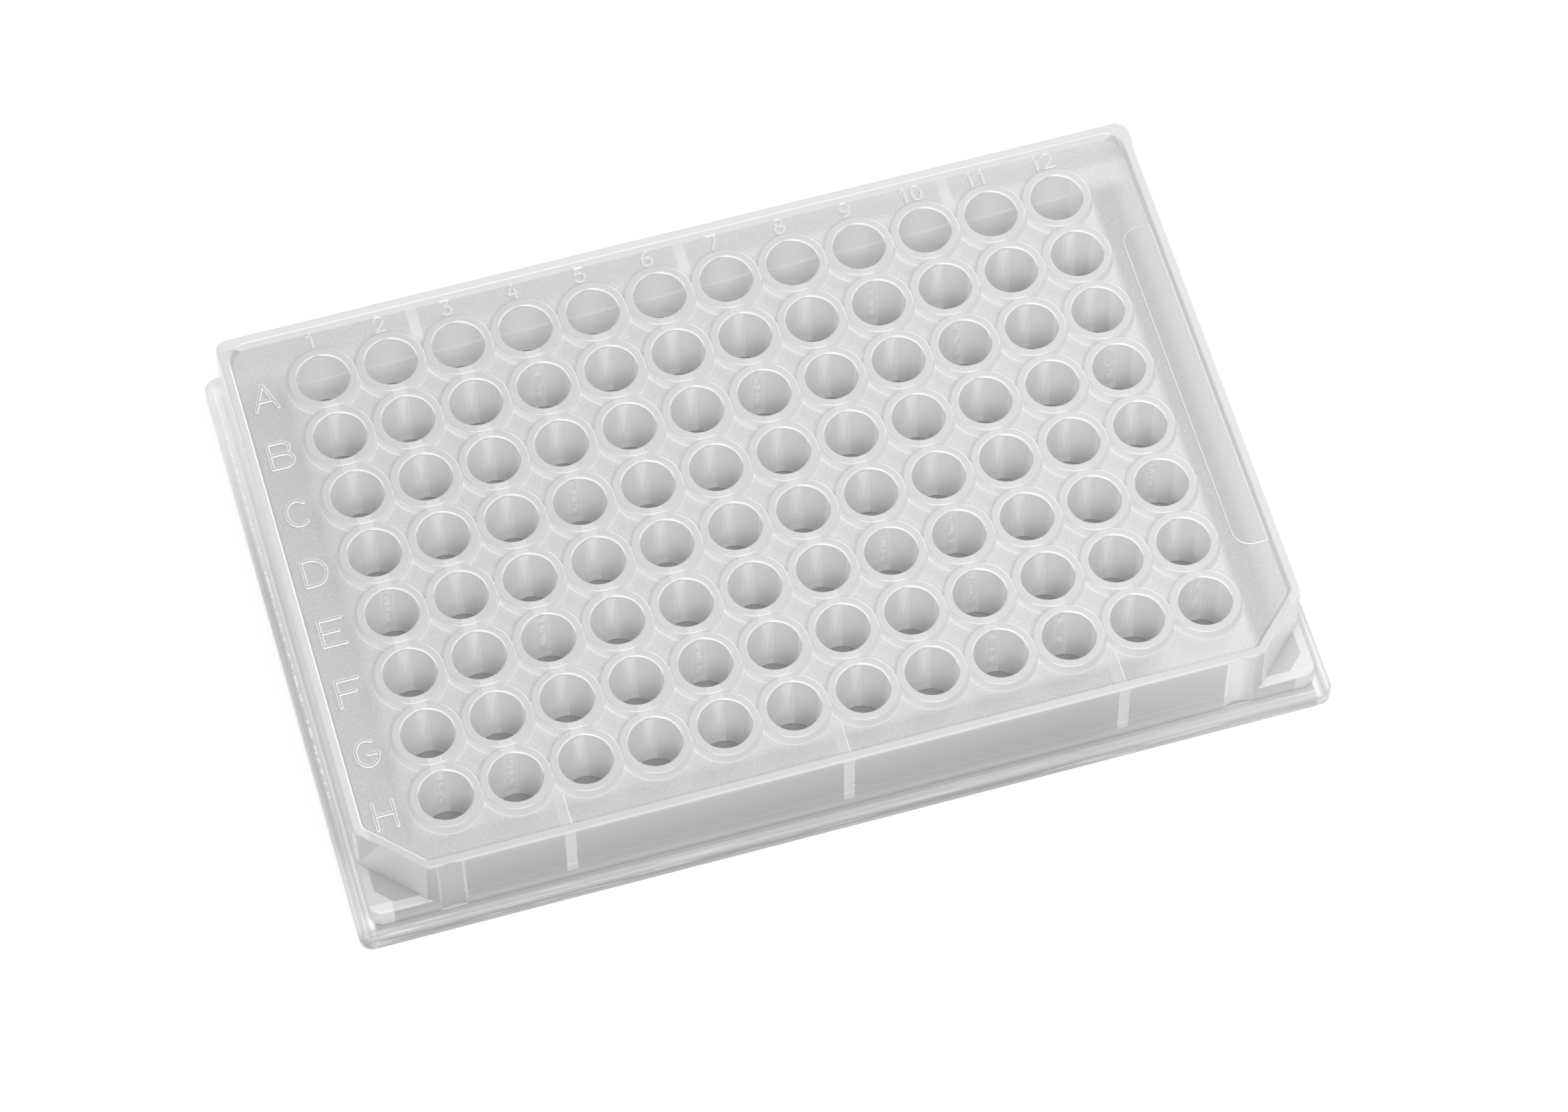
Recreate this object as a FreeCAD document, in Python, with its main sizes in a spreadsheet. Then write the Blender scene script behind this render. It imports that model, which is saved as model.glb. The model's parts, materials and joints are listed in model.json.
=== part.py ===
import FreeCAD, Part
import math
import os

import Sketcher

# A 96-well microplate with flat-bottomed wells, injection moulded in one piece
# from natural polypropylene.  Millimetres, +Z up.  The origin is the centre of
# the footprint, on the surface that the skirt stands on.  X runs along the
# numbered columns, from 1 to 12, and +Y points to row A, at the back.

SIZES = [
    # the standard footprint, and the wall that stands in from it
    ("footprint_length", 127.76, "outside of the skirt along X"),
    ("footprint_width", 85.48, "outside of the skirt along Y"),
    ("footprint_corner", 1.8, "vertical corner radius of the skirt"),
    ("skirt_height", 2.5, "table to the top of the skirt's step"),
    ("skirt_round", 0.5, "top outer edge of the skirt"),
    ("base_round", 0.25, "bottom outer edge of the skirt"),
    ("end_step", 1.88, "width of the step at the short ends"),
    ("side_step", 1.74, "width of the step along the long sides"),
    ("wall", 1.1, "thickness of the skirt, its step, the wall and the ledges"),
    ("wall_draft", 1.0, "lean of the wall from upright, degrees"),
    ("wall_corner", 1.8, "vertical corner radius of the wall"),
    ("rim_rise", 1.05, "deck to the top of the rim"),
    ("rim_round", 0.35, "top outer edge of the rim"),
    # the two corners at row H are cut off above a ledge
    ("corner_cut", 7.7, "leg of the 45 degree cut at each front corner"),
    ("cut_corner", 1.5, "vertical edges of the cut"),
    ("ledge_height", 5.7, "table to the top of the ledge below each cut"),
    ("corner_fill", 1.9, "leg of the solid fill inside each front corner"),
    # a finger scoop beside each cut, in the front wall
    ("scoop_inset", 10.65, "axis of the scoop in from the end of the wall"),
    ("scoop_radius", 3.8, "radius of the scooped cylinder"),
    ("scoop_depth", 0.43, "how deep it bites into the wall"),
    # the deck, sunk inside the rim
    ("deck_thickness", 1.1, "thickness of the deck"),
    ("rim_width", 1.0, "flat top of the rim"),
    ("rim_slope", 18.0, "lean of the rim's inner wall from upright, degrees"),
    ("deck_corner", 1.2, "vertical corner radius of the sunk deck"),
    # the wells
    ("plate_height", 14.35, "table to the top of the collars"),
    ("collar_rise", 1.35, "deck to the top of the collars"),
    ("well_pitch", 9.0, "from well to well, both ways"),
    ("end_margin", 14.38, "centre of the end wells from the skirt's end"),
    ("side_margin", 11.24, "centre of the outer rows from the skirt's side"),
    ("well_mouth", 6.79, "bore across its mouth"),
    ("well_base", 6.4, "bore across its flat floor"),
    ("well_depth", 10.7, "mouth to floor"),
    ("tube_wall", 1.0, "wall of the tube round each bore"),
    ("tube_floor", 1.1, "thickness of the floor"),
    ("mouth_round", 0.2, "edge of the bore at its mouth"),
    ("collar_top", 9.1, "collar across its flat top"),
    ("collar_foot", 9.6, "collar across its foot on the deck"),
    ("collar_bevel", 0.15, "top outer edge of the collar"),
    # what ties the tubes together below the deck
    ("web_thickness", 1.4, "webs from tube to tube"),
    ("web_lift", 1.45, "lower edge of the webs above the foot of the tubes"),
    ("rib_thickness", 1.35, "ribs from the long walls to the outer rows"),
    ("rib_lift", 0.75, "lower edge of the ribs above the foot of the tubes"),
    ("rib_columns", 4, "columns of wells from the middle rib to the ones beside it"),
]


class Term:
    """A length that carries its number and its formula over the sheet's cells."""

    def __init__(self, number, formula):
        self.number = number
        self.formula = formula

    def __add__(self, other):
        other = term(other)
        return Term(self.number + other.number, f"({self.formula} + {other.formula})")

    def __sub__(self, other):
        other = term(other)
        return Term(self.number - other.number, f"({self.formula} - {other.formula})")

    def __mul__(self, other):
        other = term(other)
        return Term(self.number * other.number, f"({self.formula} * {other.formula})")

    def __truediv__(self, other):
        other = term(other)
        return Term(self.number / other.number, f"({self.formula} / {other.formula})")

    def __neg__(self):
        return Term(-self.number, f"(-{self.formula})")


def term(value):
    return value if isinstance(value, Term) else Term(float(value), str(value))


def tangent(angle):
    return Term(math.tan(math.radians(angle.number)), f"tan({angle.formula})")


def whole(value):
    """Rounds down, forgiving a last digit that floating point took away."""
    return Term(float(math.floor(value.number + 0.001)), f"floor({value.formula} + 0.001)")


doc = FreeCAD.newDocument("WellPlate")
sheet = doc.addObject("Spreadsheet::Sheet", "Sizes")
cells = {}
for row, (alias, value, meaning) in enumerate(SIZES, start=1):
    sheet.set(f"A{row}", meaning)
    sheet.set(f"B{row}", str(value))
    sheet.setAlias(f"B{row}", alias)
    cells[alias] = Term(value, f"Sizes.{alias}")
doc.recompute()

plate = doc.addObject("PartDesign::Body", "plate")
plate.Label = "plate"
datum = {feature.Role: feature for feature in plate.Origin.OriginFeatures}

# ---- lengths that several features share ----

columns = whole((cells["footprint_length"] - cells["end_margin"] * 2) / cells["well_pitch"]) + 1
rows = whole((cells["footprint_width"] - cells["side_margin"] * 2) / cells["well_pitch"]) + 1
well_x = (columns - 1) * cells["well_pitch"] / 2
well_y = (rows - 1) * cells["well_pitch"] / 2
deck_height = cells["plate_height"] - cells["collar_rise"]
deck_underside = deck_height - cells["deck_thickness"]
rim_height = deck_height + cells["rim_rise"]
floor_height = cells["plate_height"] - cells["well_depth"]
tube_foot = floor_height - cells["tube_floor"]
step_underside = cells["skirt_height"] - cells["wall"]
skirt_x = cells["footprint_length"] / 2
skirt_y = cells["footprint_width"] / 2
wall_x = skirt_x - cells["end_step"]
wall_y = skirt_y - cells["side_step"]
wall_lean = tangent(cells["wall_draft"]) * (rim_height - cells["skirt_height"])
MITRE = Term(2 - math.sqrt(2), "(2 - sqrt(2))")
NEAR = 0.001


# ---- helpers ----

def sketch_on(plane, name, offset):
    """A sketch on one of the body's own planes, moved by bound offsets."""
    sketch = plate.newObject("Sketcher::SketchObject", name)
    sketch.AttachmentSupport = (datum[plane], [""])
    sketch.MapMode = "FlatFace"
    for axis, distance in zip("xyz", offset):
        sketch.setExpression(f"AttachmentOffset.Base.{axis}", term(distance).formula)
    return sketch


def draw(sketch, corners):
    """Adds a closed outline of straight sides whose corners are bound to the sheet."""
    corners = [(term(x), term(y)) for x, y in corners]
    points = [FreeCAD.Vector(x.number, y.number, 0) for x, y in corners]
    first = sketch.GeometryCount
    last = first + len(points) - 1
    for here, there in zip(points, points[1:] + points[:1]):
        sketch.addGeometry(Part.LineSegment(here, there))
    for side in range(first, last + 1):
        following = side + 1 if side < last else first
        sketch.addConstraint(Sketcher.Constraint("Coincident", side, 2, following, 1))
    for side, (x, y) in zip(range(first, last + 1), corners):
        for kind, distance in (("DistanceX", x), ("DistanceY", y)):
            place = sketch.addConstraint(Sketcher.Constraint(kind, -1, 1, side, 1, distance.number))
            sketch.setExpression(f"Constraints[{place}]", distance.formula)
    return sketch


def disc(sketch, x, y, radius):
    """Adds a circle whose centre and radius are bound to the sheet."""
    centre = FreeCAD.Vector(x.number, y.number, 0)
    ring = sketch.addGeometry(Part.Circle(centre, FreeCAD.Vector(0, 0, 1), radius.number))
    for kind, distance in (("DistanceX", x), ("DistanceY", y)):
        place = sketch.addConstraint(Sketcher.Constraint(kind, -1, 1, ring, 3, distance.number))
        sketch.setExpression(f"Constraints[{place}]", distance.formula)
    place = sketch.addConstraint(Sketcher.Constraint("Radius", ring, radius.number))
    sketch.setExpression(f"Constraints[{place}]", radius.formula)


def rectangle(x_low, x_high, y_low, y_high):
    return [(x_low, y_low), (x_high, y_low), (x_high, y_high), (x_low, y_high)]


def cut_outline(half_x, half_y, leg):
    """A centred rectangle whose two front corners are cut off at 45 degrees."""
    return [
        (leg - half_x, -half_y),
        (half_x - leg, -half_y),
        (half_x, leg - half_y),
        (half_x, half_y),
        (-half_x, half_y),
        (-half_x, leg - half_y),
    ]


def inset_cut_outline(half_x, half_y, leg, inset):
    """The same outline with every side moved in by one distance."""
    return cut_outline(half_x - inset, half_y - inset, leg - MITRE * inset)


volumes = [0.0]


def finish(feature, grows):
    """Makes a feature the body's newest, and stops if it failed or did nothing."""
    plate.Tip = feature
    doc.recompute()
    if "Invalid" in feature.State or "Error" in feature.State:
        raise ValueError(f"{feature.Name} failed: {feature.State}")
    change = feature.Shape.Volume - volumes[-1]
    if change * (1 if grows else -1) < 0.001:
        raise ValueError(f"{feature.Name} changed the volume by {change:.4f}")
    volumes.append(feature.Shape.Volume)
    print(feature.Name, round(change, 2))
    return feature


def pad(name, sketch, length):
    """Pads a sketch upward."""
    feature = plate.newObject("PartDesign::Pad", name)
    feature.Profile = sketch
    feature.setExpression("Length", length.formula)
    return finish(feature, grows=True)


def pocket(name, sketch, length, upward):
    """Cuts a sketch upward or downward."""
    feature = plate.newObject("PartDesign::Pocket", name)
    feature.Profile = sketch
    feature.Reversed = upward
    feature.setExpression("Length", length.formula)
    return finish(feature, grows=False)


def turned(kind, name, sketch):
    """A revolution or groove about the sketch's own upright axis."""
    feature = plate.newObject(f"PartDesign::{kind}", name)
    feature.Profile = sketch
    feature.ReferenceAxis = (sketch, ["V_Axis"])
    feature.Angle = 360
    return finish(feature, grows=kind == "Revolution")


def pattern(name, original, grows, along_x=None, along_y=None):
    """Repeats a feature at the well pitch along X, along Y or both."""
    feature = plate.newObject("PartDesign::LinearPattern", name)
    feature.Originals = [original]
    feature.Direction = (datum["X_Axis"], [""])
    feature.Direction2 = (datum["Y_Axis"], [""])
    for suffix, count in (("", along_x or term(1)), ("2", along_y or term(1))):
        feature.setExpression(f"Length{suffix}", ((count - 1) * cells["well_pitch"]).formula)
        feature.setExpression(f"Occurrences{suffix}", count.formula)
    return finish(feature, grows)


def rounding(name, radius, chosen, grows=False):
    """Fillets the edges of the newest shape that chosen() accepts."""
    base = plate.Tip
    edges = [f"Edge{k}" for k, edge in enumerate(base.Shape.Edges, start=1) if chosen(edge)]
    feature = plate.newObject("PartDesign::Fillet", name)
    feature.Base = (base, edges)
    feature.setExpression("Radius", radius.formula)
    return finish(feature, grows)


def drafting(name, angle, pivot, chosen, grows, reverse=False):
    """Leans the chosen faces about the level face at the height of pivot."""
    base = plate.Tip
    faces = list(enumerate(base.Shape.Faces, start=1))
    feature = plate.newObject("PartDesign::Draft", name)
    feature.Base = (base, [f"Face{k}" for k, face in faces if chosen(face)])
    feature.NeutralPlane = (base, [f"Face{k}" for k, face in faces if level_at(face, pivot)][:1])
    feature.setExpression("Angle", angle.formula)
    feature.Reversed = reverse
    return finish(feature, grows)


def level_at(item, height):
    """True for an edge or face that lies in the level plane at one height."""
    box = item.BoundBox
    return max(abs(box.ZMin - height.number), abs(box.ZMax - height.number)) < NEAR


def upright(edge):
    """True for a straight edge that runs up a corner, leaning or not."""
    if edge.Curve.TypeId != "Part::GeomLine":
        return False
    return abs(edge.tangentAt(edge.FirstParameter).z) > math.cos(math.radians(5))


def standing_between(face, low, high):
    """True for a flat wall face that spans at least part of a range of heights."""
    box = face.BoundBox
    if face.Surface.TypeId != "Part::GeomPlane" or box.ZLength < NEAR:
        return False
    return box.ZMin > low.number - NEAR and box.ZMax < high.number + NEAR


def half_spans(item):
    """How far an edge or face reaches from the middle of the plate, along X and Y."""
    box = item.BoundBox
    return max(abs(box.XMin), abs(box.XMax)), max(abs(box.YMin), abs(box.YMax))


# ---- the skirt: a low block with rounded corners and edges ----

skirt_sketch = sketch_on("XY_Plane", "SkirtOutline", (0, 0, 0))
draw(skirt_sketch, rectangle(-skirt_x, skirt_x, -skirt_y, skirt_y))
pad("Skirt", skirt_sketch, cells["skirt_height"])
rounding("SkirtCorners", cells["footprint_corner"], upright)
rounding("SkirtTopEdge", cells["skirt_round"], lambda edge: level_at(edge, cells["skirt_height"]))
rounding("SkirtBottomEdge", cells["base_round"], lambda edge: level_at(edge, term(0)))

# ---- the wall: square corners up to the ledges, cut front corners above them ----

lower_sketch = sketch_on("XY_Plane", "LowerWallOutline", (0, 0, cells["skirt_height"]))
draw(lower_sketch, rectangle(-wall_x, wall_x, -wall_y, wall_y))
pad("LowerWall", lower_sketch, cells["ledge_height"] - cells["skirt_height"])

upper_sketch = sketch_on("XY_Plane", "UpperWallOutline", (0, 0, cells["ledge_height"]))
draw(upper_sketch, cut_outline(wall_x, wall_y, cells["corner_cut"]))
pad("UpperWall", upper_sketch, rim_height - cells["ledge_height"])

drafting(
    "WallDraft",
    cells["wall_draft"],
    cells["skirt_height"],
    lambda face: standing_between(face, cells["skirt_height"], rim_height),
    grows=False,
)


def at_wall_corner(edge):
    reach_x, reach_y = half_spans(edge)
    above_skirt = edge.BoundBox.ZMin > cells["skirt_height"].number - NEAR
    return upright(edge) and above_skirt and reach_x + reach_y > (wall_x + wall_y - cells["wall"]).number


def at_cut_corner(edge):
    return upright(edge) and edge.BoundBox.ZMin > cells["ledge_height"].number - NEAR


rounding("WallCorners", cells["wall_corner"], at_wall_corner)
rounding("CutCorners", cells["cut_corner"], at_cut_corner)
rounding("RimEdge", cells["rim_round"], lambda edge: level_at(edge, rim_height))

# ---- a finger scoop at each end of the front wall ----

scoop_sketch = sketch_on("XY_Plane", "Scoops", (0, 0, cells["skirt_height"]))
for side in (-1, 1):
    scoop_x = (wall_x - cells["scoop_inset"]) * side
    scoop_y = cells["scoop_depth"] - wall_y - cells["scoop_radius"]
    disc(scoop_sketch, scoop_x, scoop_y, cells["scoop_radius"])
pocket("ScoopCuts", scoop_sketch, rim_height - cells["skirt_height"], upward=True)

# ---- the hollow under the step, the ledges and the deck, one wall inside the outline ----

skirt_hollow = sketch_on("XY_Plane", "SkirtHollow", (0, 0, 0))
hollow_x = skirt_x - cells["wall"]
hollow_y = skirt_y - cells["wall"]
draw(skirt_hollow, rectangle(-hollow_x, hollow_x, -hollow_y, hollow_y))
pocket("SkirtHollowCut", skirt_hollow, step_underside, upward=True)

lower_hollow = sketch_on("XY_Plane", "LowerHollow", (0, 0, step_underside))
draw(lower_hollow, cut_outline(wall_x - cells["wall"], wall_y - cells["wall"], cells["corner_fill"]))
pocket("LowerHollowCut", lower_hollow, cells["ledge_height"] - cells["skirt_height"], upward=True)

upper_hollow = sketch_on("XY_Plane", "UpperHollow", (0, 0, step_underside))
draw(upper_hollow, inset_cut_outline(wall_x, wall_y, cells["corner_cut"], cells["wall"]))
pocket("UpperHollowCut", upper_hollow, deck_underside - step_underside, upward=True)

drafting(
    "HollowDraft",
    cells["wall_draft"],
    step_underside,
    lambda face: standing_between(face, step_underside, deck_underside),
    grows=True,
    reverse=True,
)

# ---- the sunk deck ----

deck_sketch = sketch_on("XY_Plane", "DeckOutline", (0, 0, rim_height))
draw(deck_sketch, inset_cut_outline(wall_x, wall_y, cells["corner_cut"], wall_lean + cells["rim_width"]))
pocket("DeckCut", deck_sketch, cells["rim_rise"], upward=False)
drafting(
    "DeckDraft",
    cells["rim_slope"],
    rim_height,
    lambda face: standing_between(face, deck_height, rim_height),
    grows=True,
)


def at_deck_corner(edge):
    box = edge.BoundBox
    in_recess = abs(box.ZMin - deck_height.number) < NEAR
    return in_recess and abs(box.ZMax - rim_height.number) < NEAR


rounding("DeckCorners", cells["deck_corner"], at_deck_corner, grows=True)

# ---- ribs from the long walls to the outer rows, beside the middle and on it ----

rib_foot = tube_foot + cells["rib_lift"]
rib_sketch = sketch_on("XY_Plane", "Ribs", (0, 0, rib_foot))
half_rib = cells["rib_thickness"] / 2
rib_end = wall_y - cells["wall"] / 2
for place in (-1, 0, 1):
    rib_x = cells["well_pitch"] * cells["rib_columns"] * place
    draw(rib_sketch, rectangle(rib_x - half_rib, rib_x + half_rib, -rib_end, -well_y))
    draw(rib_sketch, rectangle(rib_x - half_rib, rib_x + half_rib, well_y, rib_end))
pad("RibPads", rib_sketch, deck_underside - rib_foot)

# ---- webs that run through each row and each column of tubes ----

half_web = cells["web_thickness"] / 2
web_foot = tube_foot + cells["web_lift"]
web_rise = deck_underside - web_foot
row_web = sketch_on("XY_Plane", "RowWeb", (0, 0, web_foot))
draw(row_web, rectangle(-well_x, well_x, -well_y - half_web, half_web - well_y))
pattern("RowWebs", pad("FirstRowWeb", row_web, web_rise), grows=True, along_y=rows)

column_web = sketch_on("XY_Plane", "ColumnWeb", (0, 0, web_foot))
draw(column_web, rectangle(-well_x - half_web, half_web - well_x, -well_y, well_y))
pattern("ColumnWebs", pad("FirstColumnWeb", column_web, web_rise), grows=True, along_x=columns)

# ---- the tubes, each with its collar on the deck, then the bores through them ----

mouth = cells["well_mouth"] / 2
base = cells["well_base"] / 2

tube_sketch = sketch_on("XZ_Plane", "TubeProfile", (-well_x, 0, well_y))
tube_profile = [
    (0, tube_foot),
    (base + cells["tube_wall"], tube_foot),
    (mouth + cells["tube_wall"], deck_height),
    (cells["collar_foot"] / 2, deck_height),
    (cells["collar_top"] / 2, cells["plate_height"] - cells["collar_bevel"]),
    (cells["collar_top"] / 2 - cells["collar_bevel"], cells["plate_height"]),
    (0, cells["plate_height"]),
]
draw(tube_sketch, tube_profile)
tube = turned("Revolution", "FirstTube", tube_sketch)
pattern("Tubes", tube, grows=True, along_x=columns, along_y=rows)

bore_sketch = sketch_on("XZ_Plane", "BoreProfile", (-well_x, 0, well_y))
bore_profile = [
    (0, floor_height),
    (base, floor_height),
    (mouth, cells["plate_height"]),
    (0, cells["plate_height"]),
]
draw(bore_sketch, bore_profile)
bore = turned("Groove", "FirstBore", bore_sketch)
pattern("Bores", bore, grows=False, along_x=columns, along_y=rows)


def at_mouth(edge):
    ring = edge.Curve.TypeId == "Part::GeomCircle" and level_at(edge, cells["plate_height"])
    return ring and abs(edge.Curve.Radius - mouth.number) < NEAR


rounding("Mouths", cells["mouth_round"], at_mouth)

# ---- checks and export ----

for item in doc.Objects:
    if "Invalid" in item.State or "Error" in item.State:
        raise ValueError(f"{item.Name} is {item.State}")
if plate.Shape.isNull() or not plate.Shape.isValid() or len(plate.Shape.Solids) != 1:
    raise ValueError("the plate isn't one valid solid")

os.makedirs("parts", exist_ok=True)
plate.Shape.exportStep(f"parts/{plate.Label}.step")
print(plate.Label, plate.Shape.BoundBox, round(plate.Shape.Volume, 1))
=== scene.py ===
import json
import math

import bmesh
import bpy
from mathutils import Matrix, Vector


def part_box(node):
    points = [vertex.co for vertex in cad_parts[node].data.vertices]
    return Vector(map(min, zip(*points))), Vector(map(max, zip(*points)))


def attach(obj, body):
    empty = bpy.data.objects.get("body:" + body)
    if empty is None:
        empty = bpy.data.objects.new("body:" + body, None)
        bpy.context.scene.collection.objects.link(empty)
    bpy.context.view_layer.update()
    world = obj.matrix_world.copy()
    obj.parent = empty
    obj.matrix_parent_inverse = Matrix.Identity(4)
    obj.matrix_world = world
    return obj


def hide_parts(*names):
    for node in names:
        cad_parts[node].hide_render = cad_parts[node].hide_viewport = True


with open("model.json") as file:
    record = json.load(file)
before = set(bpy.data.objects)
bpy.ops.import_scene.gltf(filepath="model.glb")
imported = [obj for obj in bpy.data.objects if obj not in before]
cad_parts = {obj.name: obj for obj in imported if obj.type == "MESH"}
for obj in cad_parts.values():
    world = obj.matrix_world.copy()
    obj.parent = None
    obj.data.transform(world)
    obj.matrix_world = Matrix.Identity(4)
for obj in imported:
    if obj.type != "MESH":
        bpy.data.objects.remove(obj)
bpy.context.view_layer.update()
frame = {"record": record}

# ---- Skirt, wall and deck ----
# The tray of a 96-well plate: a stepped skirt, a leaning wall with two cut front corners above
# ledges, and a deck sunk inside the rim. It is natural polypropylene, injection moulded in one
# shot with everything else on the plate, so it is modelled as one closed shell.
MM = 0.001
FINE = 0.001 * MM
_, (skirt_x, skirt_y, collar_height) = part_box("plate")
skirt_height = 2.5 * MM
wall_x = skirt_x - 1.88 * MM
wall_y = skirt_y - 1.74 * MM
wall = 1.1 * MM
ledge_height = 5.7 * MM
deck_height = collar_height - 1.35 * MM
deck_underside = deck_height - wall
rim_height = deck_height + 1.05 * MM
base_round = 0.25 * MM
skirt_corner = 1.8 * MM
corner_cut = 7.7 * MM
corner_fill = 1.9 * MM
cut_round = 0.75 * MM
draft = math.tan(math.radians(1))
# When a 45 degree cut and its two walls all move inward, its legs get shorter by this share of it.
CUT_SHARE = 2 - math.sqrt(2)


def choose(piece, kind, wanted):
    """In edit mode, selects the faces or edges that wanted() accepts and nothing else."""
    bpy.ops.mesh.select_mode(type=kind)
    bpy.ops.mesh.select_all(action="DESELECT")
    mesh = bmesh.from_edit_mesh(piece.data)
    for item in mesh.faces if kind == "FACE" else mesh.edges:
        item.select_set(wanted(item))
    mesh.select_flush_mode()
    bmesh.update_edit_mesh(piece.data)


def outline(name, half_x, half_y, height, corner=0):
    """A flat rectangle in edit mode, the outline that a piece is raised from."""
    bpy.ops.object.select_all(action="DESELECT")
    bpy.ops.mesh.primitive_plane_add(size=2)
    piece = bpy.context.object
    piece.name = piece.data.name = name
    bpy.ops.object.mode_set(mode="EDIT")
    bpy.ops.mesh.select_mode(type="FACE")
    bpy.ops.transform.resize(value=(half_x, half_y, 1), center_override=(0, 0, 0))
    bpy.ops.transform.translate(value=(0, 0, height))
    if corner:
        bpy.ops.mesh.bevel(offset=corner, segments=8, affect="VERTICES")
    return piece


def raise_face(rise, spread=(1, 1)):
    """Extrudes the chosen face up, then stretches it about the middle of the plate."""
    bpy.ops.mesh.extrude_region_move(TRANSFORM_OT_translate={"value": (0, 0, rise)})
    bpy.ops.transform.resize(value=(*spread, 1), center_override=(0, 0, 0))


def cut_front_corners(piece, height, half_x, half_y, leg):
    """Splits the level face at a height at 45 degrees across its front corners; keeps the middle."""

    def broad(face):
        level = abs(face.calc_center_median().z - height) < FINE and abs(face.normal.z) > 0.9
        return level and face.calc_area() > half_x * half_y

    for side in (-1, 1):
        across = (side * (half_x - leg / 2), leg / 2 - half_y, height)
        choose(piece, "FACE", broad)
        bpy.ops.mesh.bisect(plane_co=across, plane_no=(side, -1, 0), threshold=FINE)
    choose(piece, "FACE", broad)


def stands_near(edge, x, y):
    """True for an upright edge within a millimetre of (x, y), or of its twin across the plate."""
    start, end = (vert.co for vert in edge.verts)
    middle = (start + end) / 2
    upright = abs((end - start).normalized().z) > 0.9
    return upright and math.hypot(abs(middle.x) - x, middle.y - y) < MM


def level_edge(edge, height):
    """True for the convex edge over an outer wall at one height."""
    start, end = (vert.co for vert in edge.verts)
    level = max(abs(start.z - height), abs(end.z - height)) < FINE
    return level and edge.is_convex and min(abs(face.normal.z) for face in edge.link_faces) < 0.5


tray = outline("plate_moulding", skirt_x, skirt_y, 0, corner=skirt_corner)
raise_face(skirt_height)
raise_face(0, (wall_x / skirt_x, wall_y / skirt_y))
rise = ledge_height - skirt_height
bpy.ops.mesh.inset(thickness=rise * draft, depth=rise)
cut_front_corners(tray, ledge_height, wall_x - rise * draft, wall_y - rise * draft, corner_cut)
rise = rim_height - ledge_height
bpy.ops.mesh.inset(thickness=rise * draft, depth=rise)
choose(tray, "EDGE", lambda edge: (
    stands_near(edge, wall_x - corner_cut, -wall_y) or stands_near(edge, wall_x, corner_cut - wall_y)))
bpy.ops.mesh.bevel(offset=cut_round, segments=4, affect="EDGES")
for height, radius in (
    (rim_height, 0.35 * MM), (ledge_height, 0.25 * MM), (skirt_height, 0.5 * MM), (0, base_round)
):
    choose(tray, "EDGE", lambda edge: level_edge(edge, height))
    bpy.ops.mesh.bevel(offset=radius, segments=4, affect="EDGES")

choose(tray, "FACE", lambda face: face.normal.z < -0.99)
bpy.ops.mesh.inset(thickness=wall - base_round)
step_underside = skirt_height - wall
hollow_x = wall_x - wall
hollow_y = wall_y - wall
raise_face(step_underside)
raise_face(0, (hollow_x / (skirt_x - wall), hollow_y / (skirt_y - wall)))
cut_front_corners(tray, step_underside, hollow_x, hollow_y, corner_fill)
rise = ledge_height - wall - step_underside
bpy.ops.mesh.inset(thickness=rise * draft, depth=-rise)
inner_cut = corner_cut - CUT_SHARE * wall
inner_x, inner_y = hollow_x - rise * draft, hollow_y - rise * draft
cut_front_corners(tray, ledge_height - wall, inner_x, inner_y, inner_cut)
rise = deck_underside - ledge_height + wall
bpy.ops.mesh.inset(thickness=rise * draft, depth=-rise)
bpy.ops.mesh.select_all(action="SELECT")
bpy.ops.mesh.remove_doubles(threshold=FINE)
bpy.ops.object.mode_set(mode="OBJECT")


def combine(piece, others, operation):
    """Joins or cuts a piece with other closed solids, and clears those away."""
    tools = bpy.data.collections.new(operation)
    bpy.context.scene.collection.children.link(tools)
    for other in others:
        tools.objects.link(other)
    modifier = piece.modifiers.new(operation, "BOOLEAN")
    modifier.operation = operation
    modifier.operand_type = "COLLECTION"
    modifier.collection = tools
    modifier.solver = "MANIFOLD"
    bpy.ops.object.select_all(action="DESELECT")
    bpy.context.view_layer.objects.active = piece
    bpy.ops.object.modifier_apply(modifier=modifier.name)
    for other in others:
        bpy.data.objects.remove(other)
    bpy.data.collections.remove(tools)


recess_slope = math.tan(math.radians(18))
rim_width = 1.25 * MM
rim_inset = (rim_height - skirt_height) * draft + rim_width + (rim_height - deck_height) * recess_slope
recess_x = wall_x - rim_inset
recess_y = wall_y - rim_inset
recess_leg = corner_cut - CUT_SHARE * rim_inset
back_corner = 2.6 * MM
front_corner = 0.5 * MM
lip = 0.15 * MM
recess = outline("recess", recess_x, recess_y, deck_height)
cut_front_corners(recess, deck_height, recess_x, recess_y, recess_leg)
choose(recess, "FACE", lambda face: face.calc_area() < recess_leg * recess_leg)
bpy.ops.mesh.delete(type="FACE")
for at_back, corner in ((True, back_corner), (False, front_corner)):
    bpy.ops.mesh.select_mode(type="VERT")
    bpy.ops.mesh.select_all(action="DESELECT")
    mesh = bmesh.from_edit_mesh(recess.data)
    for vertex in mesh.verts:
        vertex.select_set((vertex.co.y > 0) == at_back)
    bmesh.update_edit_mesh(recess.data)
    bpy.ops.mesh.bevel(offset=corner, segments=6, affect="VERTICES")
bpy.ops.mesh.select_mode(type="FACE")
bpy.ops.mesh.select_all(action="SELECT")
slope_rise = rim_height - deck_height - lip
for rise, run in (
    (slope_rise, slope_rise * recess_slope), (0.6 * lip, 0.3 * lip), (0.4 * lip, 0.7 * lip), (lip, lip)
):
    raise_face(rise, (1 + run / recess_x, 1 + run / recess_y))
bpy.ops.object.mode_set(mode="OBJECT")

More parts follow.
